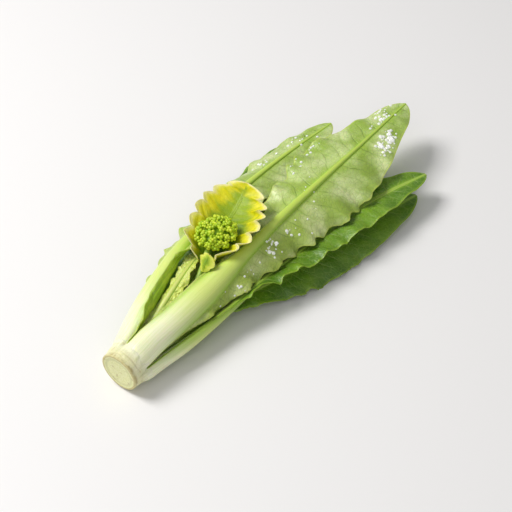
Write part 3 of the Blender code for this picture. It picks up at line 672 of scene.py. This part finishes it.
def scar_depth(x, angle):
    """Depth of the leaf scars at points of the butt, from 0 to 1."""
    depth = 0 * angle * x
    for middle, half, place, rise in SCARS:
        turn = (angle - np.radians(middle) + np.pi) % (2 * np.pi) - np.pi
        share = np.abs(turn) / np.radians(half)
        line = place + rise * share**2 + 0.5 * np.sin(5 * turn + middle)
        near = np.exp(-(((x - line) / SCAR_WIDTH) ** 2)) * np.clip(2 - 2 * share, 0, 1)
        depth = np.maximum(depth, near)
    return depth


def butt_rings(angle):
    """Rings of the cut face, the bevel, the collar and the core.

    Each has its place along X, its radius, and its shares of cut face and of that face's radius.
    """
    rings = []
    for share in np.linspace(0.04, 1, CUT_RINGS):
        radius = share * (BUTT_RADIUS - BUTT_BEVEL)
        dish = 0.5 * (1 - share**2) + 0.1 * np.exp(-(((share - 0.8) / 0.05) ** 2))
        spot = (radius * np.cos(angle) / 2.5 + 20, radius * np.sin(angle) / 2.5 + 20)
        rings.append((np.maximum(dish + 0.1 * noise(*spot, 5), 0), radius, 1, share))
    for t in np.linspace(0, np.pi / 2, 5)[1:]:
        bevel = BUTT_RADIUS - BUTT_BEVEL * (1 - np.sin(t))
        rings.append((BUTT_BEVEL * (1 - np.cos(t)), bevel, 0.5, 1))
    end = COLLAR_END - CLEAR
    for x in np.linspace(1.2, end, COLLAR_RINGS):
        bumps = 0.28 * noise(x / 5 + 30, angle * 2.6 + 10, 3)
        bumps = bumps + 0.15 * noise(x / 2 + 30, angle * 6 + 10, 4)
        merge = np.clip(x / 3, 0, 1) * np.clip((end - x) / 4, 0, 1)
        radius = collar_radius(x, angle) + merge * bumps - SCAR_DEPTH * scar_depth(x, angle)
        rings.append((x, radius, 0, 1))
    last = collar_radius(end, angle)
    core = CORE[0][1]
    for t in np.linspace(0, np.pi / 2, 9)[1:]:
        rings.append((end + 3.2 * np.sin(t), core + (last - core) * np.cos(t), 0, 1))
    return rings + [(x, radius, 0, 1) for x, radius in CORE[1:]]


def ring_faces(rings, sides):
    """Quads between rings of points and a flat face at both ends."""
    row = np.arange(rings - 1)[:, None] * sides
    a = (row + np.arange(sides)).ravel()
    b = (row + (np.arange(sides) + 1) % sides).ravel()
    faces = np.stack((a, b, b + sides, a + sides), axis=1).tolist()
    faces.append(list(range(sides))[::-1])
    faces.append(list(range((rings - 1) * sides, rings * sides)))
    return faces


def make_stem():
    """The cut butt with its scars and lobed collar, and the core, as rings along X."""
    angle = np.linspace(0, 2 * np.pi, STEM_SIDES, endpoint=False)
    points = []
    place = []
    tone = []
    for ring in butt_rings(angle):
        x, radius, cut, share, _ = np.broadcast_arrays(*ring, angle)
        across = radius * np.cos(angle)
        up = radius * np.sin(angle)
        points.append(np.column_stack((x, across, np.maximum(AXIS_Z + up, 0))))
        place.append(np.column_stack((x, across, up)))
        tone.append(np.column_stack((cut, share, scar_depth(x, angle))))
    attributes = (("place", np.concatenate(place)), ("tone", np.concatenate(tone)))
    faces = ring_faces(len(points), STEM_SIDES)
    made = make_object("stem_skin", np.concatenate(points), faces, materials["stem"], attributes)
    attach(made, "root")
    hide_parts("stem")


FLORETS = 34
BUDS_PER_FLORET = 8
FLORET_RADIUS = 1.7
BUD_HALF = 1.15
BUD_STRETCH = 1.22
GOLDEN_ANGLE = np.pi * (3 - np.sqrt(5))


def ball_mesh():
    """Points and faces of a ball of radius 1."""
    shape = bmesh.new()
    bmesh.ops.create_icosphere(shape, subdivisions=2, radius=1)
    points = np.array([vertex.co[:] for vertex in shape.verts])
    faces = np.array([[vertex.index for vertex in face.verts] for face in shape.faces])
    shape.free()
    return points, faces


def turned(direction):
    """Three unit vectors at right angles, the last of them along a direction."""
    third = unit(np.asarray(direction, float))
    first = unit(np.cross(third, (0.31, 0.52, -0.8)))
    return np.stack((first, np.cross(third, first), third))


def aimed(tilt, turn):
    """The direction at a tilt from straight up and a turn round it."""
    return np.array((np.sin(tilt) * np.cos(turn), np.sin(tilt) * np.sin(turn), np.cos(tilt)))


def tube(points, radii, sides):
    """Points and faces of a round tube along points."""
    along = unit(np.gradient(points, axis=0))
    level = unit(np.cross((0.05, 0.02, 1), along))
    above = np.cross(along, level)
    angle = np.linspace(0, 2 * np.pi, sides, endpoint=False)[:, None]
    ring = np.cos(angle) * level[:, None] + np.sin(angle) * above[:, None]
    ring = np.asarray(radii)[:, None, None] * ring
    return (points[:, None] + ring).reshape(-1, 3), ring_faces(len(points), sides)


class Pile:
    """Points, faces and tones of the parts of one mesh. A tone is rise, draw and kind of part."""

    def __init__(self):
        self.points = []
        self.faces = []
        self.tones = []
        self.count = 0

    def add(self, points, faces, rise, draw, kind):
        tone = np.broadcast_arrays(rise, draw, kind, points[:, 0])[:3]
        self.points.append(points)
        self.faces += [[corner + self.count for corner in face] for face in faces]
        self.tones.append(np.column_stack(tone))
        self.count += len(points)


def bud_points(ball, size):
    """A longish ball with four soft ribs and a flattened end."""
    around = np.arctan2(ball[:, 1], ball[:, 0])
    ribs = 1 + 0.06 * np.cos(4 * around) * (1 - ball[:, 2] ** 2)
    ribs = ribs - 0.1 * np.clip(ball[:, 2] - 0.8, 0, 1)
    return ball * ribs[:, None] * (size, size, BUD_STRETCH * size)


def make_flower_head():
    """Stalk, branches and buds of the flower head."""
    random = np.random.default_rng(12)
    pile = Pile()
    path = route(FLOWER_STALK, np.linspace(0, 1, 70))
    pile.add(*tube(path, np.linspace(*STALK_RADII, len(path)), 24), 0, 0.35, 0)
    ball, ball_faces = ball_mesh()
    pile.add(ball * (HEAD_HALF - 1.2) + HEAD_CENTRE, ball_faces, 0, 0, 0.2)
    for floret in range(FLORETS):
        tilt = np.arccos(1 - 1.1 * (floret + 0.3) / FLORETS)
        direction = aimed(tilt, GOLDEN_ANGLE * floret)
        middle = HEAD_CENTRE + direction * (HEAD_HALF + random.uniform(-0.5, 0.9))
        frame_of = turned(direction)
        path = np.linspace(HEAD_CENTRE - (0, 0, 2), middle, 6)
        pile.add(*tube(path, np.linspace(1.6, 0.9, 6), 8), 0, 0.2, 0.4)
        for k in range(BUDS_PER_FLORET):
            tilt = np.arccos(1 - 1.15 * (k + 0.5) / BUDS_PER_FLORET) + random.uniform(-0.08, 0.08)
            aim = unit(aimed(tilt, GOLDEN_ANGLE * k + 6 * direction[0]) @ frame_of)
            size = BUD_HALF * random.uniform(0.82, 1.16)
            spot = middle + aim * (FLORET_RADIUS + random.uniform(-0.2, 0.2))
            axes = turned(aim + random.uniform(-0.2, 0.2, 3))
            bud = bud_points(ball, size)
            rise = bud[:, 2] / (BUD_STRETCH * size)
            pile.add(bud @ axes + spot, ball_faces, rise, random.uniform(0, 1), 1)
    tone = (("tone", np.concatenate(pile.tones)),)
    points = np.concatenate(pile.points)
    made = make_object("flower_head_buds", points, pile.faces, materials["buds"], tone)
    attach(made, "root")
    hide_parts("flower_head")


# Drops of water on the outer faces: leaf, part of its length, share of the half blade (the near
# half is negative), spread along and across in millimetres, number and radius.
DROPS = (
    ("leaf_top", 0.94, 0.63, 4, 9, 0.8), ("leaf_top", 0.925, 0.15, 4, 9, 0.9),
    ("leaf_top", 0.895, 0.25, 5, 12, 0.9), ("leaf_top", 0.87, -0.5, 4, 26, 1.1),
    ("leaf_top", 0.83, -0.5, 4.5, 32, 1.1), ("leaf_top", 0.718, 0.88, 2.5, 7, 0.8),
    ("leaf_top", 0.633, 0.79, 4, 8, 0.7), ("leaf_top", 0.56, -0.3, 9, 9, 0.6),
    ("leaf_top", 0.468, -0.39, 3, 6, 0.9), ("leaf_top", 0.39, -0.36, 5, 22, 0.9),
    ("leaf_top", 0.265, -0.5, 8, 12, 0.6), ("leaf_left", 0.88, 0.2, 6, 10, 0.8),
    ("leaf_left", 0.75, 0.4, 5, 8, 0.8), ("leaf_left", 0.55, 0.5, 6, 8, 0.7),
)
# A leaf's length and half width, for the spreads, and a drop's width, height and lift off the skin.
LEAF_SPAN = 280
HALF_SPAN = 28
DROP_WIDTH = 1.25
DROP_HEIGHT = 0.62
DROP_LIFT = 0.12


def make_droplets(skins):
    """Domes of water on the leaves, as one mesh."""
    random = np.random.default_rng(21)
    ball, ball_faces = ball_mesh()
    points = []
    faces = []
    for name, part, share, spread, count, radius in DROPS:
        outer, skin, parts = skins[name]
        signed = np.sign(skin[..., 1]) * skin[..., 3]
        for _ in range(count):
            row = np.searchsorted(parts, part + random.normal(0, spread / LEAF_SPAN))
            row = min(row, len(parts) - 6)
            wanted = np.clip(share + random.normal(0, spread / HALF_SPAN), -0.93, 0.93)
            column = np.abs(signed[row] - wanted).argmin()
            ahead = outer[row + 2, column] - outer[row - 2, column]
            aside = outer[row, column + 1] - outer[row, column - 1]
            size = DROP_WIDTH * radius * random.uniform(0.35, 1.25)
            dome = ball * (size, size * random.uniform(0.8, 1.1), DROP_HEIGHT * size)
            axes = turned(np.cross(ahead, aside))
            points.append(dome @ axes + outer[row, column] + DROP_LIFT * size * axes[2])
            faces.append(ball_faces + len(faces) * len(ball))
    faces = np.concatenate(faces).tolist()
    made = make_object("droplets", np.concatenate(points), faces, materials["water"])
    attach(made, "root")


def tint(red, green, blue):
    """A linear colour from the 0 to 255 values of a colour as seen."""
    seen = np.array((red, green, blue)) / 255
    return (*np.where(seen <= 0.04045, seen / 12.92, ((seen + 0.055) / 1.055) ** 2.4), 1.0)


class Shader:
    """A Principled material and the nodes that feed it."""

    def __init__(self, name, **values):
        self.material = bpy.data.materials.new(name)
        self.material.use_nodes = True
        self.tree = self.material.node_tree
        self.surface = self.tree.nodes["Principled BSDF"]
        self.to_surface(**values)

    def feed(self, node, values):
        """Links or sets the inputs of a node."""
        for key, value in values.items():
            socket = node.inputs[key]
            if isinstance(value, bpy.types.NodeSocket):
                self.tree.links.new(value, socket)
            else:
                socket.default_value = value
        return node

    def node(self, kind, values, **settings):
        made = self.tree.nodes.new("ShaderNode" + kind)
        for key, value in settings.items():
            setattr(made, key, value)
        return self.feed(made, values)

    def to_surface(self, **values):
        self.feed(self.surface, {key.replace("_", " "): value for key, value in values.items()})

    def math(self, operation, *values):
        return self.node("Math", dict(enumerate(values)), operation=operation).outputs[0]

    def times(self, first, second):
        return self.math("MULTIPLY", first, second)

    def less(self, first, second):
        return self.math("SUBTRACT", first, second)

    def times_plus(self, first, second, third):
        return self.math("MULTIPLY_ADD", first, second, third)

    def parts(self, name):
        """The three numbers of a named vector of the mesh."""
        source = self.node("Attribute", {}, attribute_name=name)
        return self.node("SeparateXYZ", {0: source.outputs["Vector"]}).outputs

    def vector(self, x, y, z):
        return self.node("CombineXYZ", {0: x, 1: y, 2: z}).outputs[0]

    def noise(self, vector, scale, detail=2):
        values = {"Vector": vector, "Scale": scale, "Detail": detail}
        return self.node("TexNoise", values).outputs["Fac"]

    def edges(self, vector):
        """Distance to the borders of scattered cells."""
        values = {"Vector": vector, "Scale": 1}
        return self.node("TexVoronoi", values, feature="DISTANCE_TO_EDGE").outputs["Distance"]

    def ease(self, value, low, high, start=0, end=1):
        """Start below low, end above high, and a smooth change between."""
        values = {0: value, 1: low, 2: high, 3: start, 4: end}
        return self.node("MapRange", values, interpolation_type="SMOOTHSTEP").outputs[0]

    def mix(self, share, first, second):
        """A share of the second colour in the first. Fixed colours are given as seen."""
        first, second = (tint(*c) if isinstance(c, tuple) else c for c in (first, second))
        return self.node("Mix", {0: share, 6: first, 7: second}, data_type="RGBA").outputs[2]

    def layers(self, colour, *layers):
        """Colours laid over each other: value, low, high, start and end of its ease, colour."""
        for *eased, over in layers:
            colour = self.mix(self.ease(*eased), colour, over)
        return colour

    def bump(self, height, distance):
        values = {"Height": height, "Distance": distance, "Strength": 1}
        self.to_surface(Normal=self.node("Bump", values).outputs[0])


def leaf_material(name, outer, inner, vein_and_shade_colours, margin, rib, spacing=9, groove=0):
    """Skin of a leaf.

    outer and inner are the light and dark colours of each face, and the vein colours those of the vein
    lines on both faces, which on the outer face are darker: each vein's own colour with painted shade
    along it.
    groove is how far the blade's green runs in over the rib on the inner face.
    """
    s = Shader(
        name, Subsurface_Weight=0.25, Subsurface_Radius=(0.6, 1, 0.2), Subsurface_Scale=0.002,
        Specular_IOR_Level=0.65,
    )
    along, aside, face = s.parts("place")
    phase, out, ridge = s.parts("vein")
    shade, way, pale = s.parts("tone")
    skin = s.vector(along, aside, s.times(face, 37))
    broad = s.noise(skin, 0.05, 2)
    middling = s.noise(skin, 0.22, 3)
    fine = s.noise(skin, 1.1, 2)
    bent = s.times_plus(s.less(middling, 0.5), 0.16, phase)
    off = s.math("ABSOLUTE", s.less(s.math("FRACT", s.math("ADD", bent, 0.5)), 0.5))
    line = s.ease(s.times(off, spacing), 0.1, 0.55, 1, 0)
    blade = s.ease(out, 0, 0.06)
    line = s.times(line, s.times(blade, s.ease(out, 0.25, 0.8, 1, 0.2)))
    line = s.times(line, s.ease(broad, 0.35, 0.62, 0.3, 1))
    warp = s.times(middling, 1.4)
    cells = s.vector(s.times_plus(along, 0.3, warp), s.times_plus(aside, 0.34, warp), s.times(face, 9))
    net = s.times(s.ease(s.edges(cells), 0, 0.09, 1, 0), blade)
    fibre = s.noise(s.vector(s.times(along, 0.035), s.times(aside, 1.3), face), 1, 2)
    light = s.mix(face, outer[0], inner[0])
    dark = s.mix(face, outer[1], inner[1])
    colour = s.layers(
        light, (broad, 0.32, 0.64, dark), (middling, 0.35, 0.8, 0, 0.3, dark),
        # This layer darkens where the swells are low, in the furrows over side veins and between puckers:
        # painted shade in the hollows.
        (shade, 0, 0.45, 0.35, 0, dark),
    )
    low = s.times(s.ease(along, 80, 200, 0.4, 0), s.less(1, face))
    colour = s.mix(low, colour, margin)
    # Vein lines and the fine net between them take the vein colours: their own colour, darker on the
    # outer face as painted shade in the grooves along each vein.
    vein = s.mix(face, *vein_and_shade_colours)
    colour = s.mix(s.times(net, 0.3), colour, vein)
    colour = s.mix(s.times(line, 0.55), colour, vein)
    colour = s.mix(s.ease(way, 0, 2, 0.65, 0), colour, margin)
    stalk = s.layers(
        rib, (along, 170, 260, 0, 0.5, outer[1]), (pale, 0.05, 0.5, (220, 233, 134)),
        (pale, 0.45, 0.9, (251, 252, 214)), (fibre, 0.35, 0.7, 0, 0.3, rib),
    )
    flank = s.times(s.ease(ridge, 0.3, 1, 0, 0.75), s.ease(along, -2, 34, 0.1, 1))
    stalk = s.mix(flank, stalk, (162, 201, 58))
    near_rib = s.times(s.ease(out, 0, 0.3, 1, 0), s.ease(pale, 0, 0.6, 0.35, 0.9))
    colour = s.mix(s.times(near_rib, blade), colour, stalk)
    under = s.times(face, s.ease(ridge, 0.3, 0.7))
    colour = s.mix(s.less(s.less(1, blade), s.times(under, groove)), colour, stalk)
    s.to_surface(Base_Color=colour, Roughness=s.ease(fine, 0.2, 0.8, 0.3, 0.5))
    height = s.times_plus(fine, 0.5, s.times(line, -1))
    height = s.times_plus(net, -0.45, height)
    height = s.times_plus(fibre, 0.5, height)
    s.bump(height, 0.00022)
    return s.material


def stem_material():
    s = Shader("stem", Subsurface_Weight=0.15, Subsurface_Radius=(1, 1, 0.5), Subsurface_Scale=0.002)
    x, y, z = s.parts("place")
    cut, share, scar = s.parts("tone")
    place = s.vector(x, y, z)
    broad = s.noise(place, 0.11, 4)
    blotch = s.noise(place, 0.3, 3)
    fine = s.noise(place, 1.3, 3)
    streak = s.noise(s.vector(s.times(x, 0.08), y, z), 0.9, 3)
    colour = s.layers(
        (232, 228, 180), (x, 3, 12, (244, 245, 212)), (streak, 0.4, 0.75, 0, 0.4, (206, 216, 140)),
        (blotch, 0.58, 0.72, 0, 0.4, (202, 178, 120)), (broad, 0.5, 0.68, 0, 0.35, (245, 242, 215)),
    )
    colour = s.mix(s.times(scar, 0.25), colour, (184, 164, 104))
    ring = s.math("ABSOLUTE", s.less(share, 0.79))
    core = s.layers(
        (242, 242, 190), (fine, 0.35, 0.7, (226, 228, 158)), (ring, 0.02, 0.12, 0.7, 0, (214, 214, 156)),
        (share, 0.9, 0.98, 0, 0.8, (196, 180, 116)), (blotch, 0.6, 0.75, 0, 0.5, (170, 142, 86)),
    )
    face = s.ease(cut, 0.2, 0.8)
    colour = s.mix(face, colour, core)
    rim = s.times(s.ease(x, 0.9, 3.2, 1, 0), s.less(1, face))
    colour = s.mix(s.times(rim, s.ease(blotch, 0.4, 0.62, 0.15, 0.9)), colour, (184, 166, 104))
    s.to_surface(Base_Color=colour, Roughness=s.ease(fine, 0.2, 0.8, 0.38, 0.6))
    s.bump(s.times_plus(streak, 0.6, fine), 0.0003)
    return s.material


def bract_material(name, light, dark, green, deep_green_and_shade, cream, rim):
    s = Shader(name, Subsurface_Weight=0.5, Subsurface_Radius=(1, 0.85, 0.1), Subsurface_Scale=0.0035)
    along, aside, face = s.parts("place")
    phase, out = s.parts("vein")[:2]
    way = s.parts("tone")[1]
    skin = s.vector(along, aside, s.times(face, 31))
    broad = s.noise(skin, 0.12, 3)
    middling = s.noise(skin, 0.4, 3)
    fine = s.noise(skin, 1.6, 2)
    rays = s.noise(s.vector(s.times(phase, 2.2), s.times(out, 1.2), face), 1, 3)
    colour = s.layers(
        light, (broad, 0.35, 0.65, dark), (rays, 0.38, 0.75, 0, 0.5, green),
        # Greener away from the margin, deep in the cup: the bract's own green, deepened as painted shade
        # of the cup.
        (s.times_plus(rays, 7, way), 10, 21, 0, 0.85, green),
    )
    # A deep dark green low in the cup round the buds: the bract's own green at its base, with painted
    # shade of the cup.
    inside = s.times(s.ease(out, 0.3, 0.9, 1, 0), s.ease(along, 22, 50, 1, 0))
    colour = s.mix(s.times(inside, 0.8), colour, deep_green_and_shade)
    spread = s.times_plus(middling, 3, way)
    colour = s.layers(colour, (spread, 2.6, 7.6, 0.95, 0, cream), (spread, 2.2, 5.4, 0.9, 0, rim))
    s.to_surface(Base_Color=colour, Roughness=s.ease(fine, 0.2, 0.8, 0.35, 0.55))
    s.bump(s.times_plus(rays, 1.2, fine), 0.00025)
    return s.material


def bud_material():
    s = Shader("buds", Subsurface_Weight=0.15, Subsurface_Radius=(0.7, 1, 0.2), Subsurface_Scale=0.0015)
    rise, draw, bud = s.parts("tone")
    place = s.node("TexCoord", {}).outputs["Object"]
    fine = s.noise(place, 900, 2)
    colour = s.mix(draw, (166, 202, 22), (210, 226, 52))
    # Darker green towards the base of each bud, where the buds crowd together: painted shade between the
    # buds.
    colour = s.mix(s.ease(rise, -0.7, 0.5, 0.6, 0), colour, (84, 142, 8))
    colour = s.mix(s.ease(bud, 0.35, 0.6), (150, 190, 40), colour)
    # The flower stalk: its own green, made darker as painted shade in the gap under the bract.
    colour = s.mix(s.ease(bud, 0, 0.2), (152, 184, 62), colour)
    s.to_surface(Base_Color=colour, Roughness=s.ease(fine, 0.2, 0.8, 0.32, 0.5))
    s.bump(fine, 0.00012)
    return s.material


def water_material():
    white = (1, 1, 1, 1)
    # White and faintly glowing: painted highlights of light on the drops.
    s = Shader(
        "water", Roughness=0.06, IOR=1.4, Transmission_Weight=0.35, Emission_Strength=0.12,
        Emission_Color=white, Base_Color=white,
    )
    return s.material


materials = {
    "stem": stem_material(),
    "leaf_outer": leaf_material(
        "leaf_outer", outer=((222, 234, 170), (154, 182, 72)), inner=((196, 218, 56), (146, 182, 26)),
        vein_and_shade_colours=((118, 148, 54), (170, 194, 90)), margin=(186, 202, 84), rib=(194, 218, 92), groove=1,
    ),
    "leaf_inner": leaf_material(
        "leaf_inner", outer=((182, 204, 100), (134, 166, 56)), inner=((118, 158, 22), (78, 122, 4)),
        vein_and_shade_colours=((112, 140, 56), (150, 178, 78)), margin=(152, 182, 46), rib=(170, 194, 90),
    ),
    "leaf_young": leaf_material(
        "leaf_young", outer=((240, 247, 168), (220, 233, 116)), inner=((212, 220, 104), (170, 188, 58)),
        vein_and_shade_colours=((150, 172, 60), (214, 220, 128)), margin=(190, 202, 72), rib=(206, 214, 116), spacing=6,
    ),
    "bract": bract_material(
        "bract", light=(244, 230, 34), dark=(230, 220, 14), green=(132, 168, 6), deep_green_and_shade=(66, 116, 2),
        cream=(255, 240, 112), rim=(255, 240, 168),
    ),
    "flower_bractlet": bract_material(
        "bractlet", light=(176, 204, 40), dark=(150, 184, 26), green=(132, 166, 30),
        deep_green_and_shade=(120, 156, 24), cream=(204, 220, 66), rim=(230, 232, 96),
    ),
    "buds": bud_material(),
    "water": water_material(),
}

skins = {leaf.name: make_leaf(leaf) for leaf in LEAVES}
make_stem()
make_flower_head()
make_droplets(skins)


def make_floor():
    """The white surface that the head lies on."""
    mesh = bpy.data.meshes.new("floor")
    mesh.from_pydata([(-4, -4, 0), (4, -4, 0), (4, 4, 0), (-4, 4, 0)], [], [(0, 1, 2, 3)])
    s = Shader("floor", Roughness=0.55, Base_Color=(0.86, 0.85, 0.85, 1))
    mesh.materials.append(s.material)
    floor = add_object("floor", mesh)


def make_light(name, place, size, watts, colour=(1, 1, 1)):
    """A square area light that faces the frame's zero point."""
    light = bpy.data.lights.new(name, "AREA")
    light.size = size
    light.energy = watts
    light.color = colour
    lamp = add_object(name, light)
    lamp.location = place
    lamp.rotation_euler = Vector(place).to_track_quat("Z", "Y").to_euler()


def make_camera(azimuth, elevation, lens, target, distance):
    """A camera that looks at a target from an azimuth and elevation in degrees."""
    a, e = np.radians((azimuth, elevation))
    back = Vector((np.sin(a) * np.cos(e), -np.cos(a) * np.cos(e), np.sin(e)))
    right = Vector((np.cos(a), np.sin(a), 0))
    camera = bpy.data.cameras.new("camera")
    camera.lens = lens
    turn = Matrix((right, back.cross(right), back)).transposed().to_4x4()
    turn.translation = Vector(target) + back * distance
    made = add_object("camera", camera)
    made.matrix_world = turn
    bpy.context.scene.camera = made


make_floor()
make_light("key", (-0.45, 0.85, 1.3), size=0.65, watts=21.5, colour=(1, 0.99, 0.97))
make_light("fill", (-1.1, -0.5, 1.3), size=1.2, watts=4)
world = bpy.data.worlds.new("world")
world.use_nodes = True
background = world.node_tree.nodes["Background"].inputs
background["Color"].default_value = (1, 1, 1, 1)
background["Strength"].default_value = 0.33
bpy.context.scene.world = world
bpy.context.scene.view_settings.view_transform = "Standard"
make_camera(
    azimuth=-52.41, elevation=46, lens=85, target=(-0.0256, -0.0074, 0.02), distance=0.7906
)
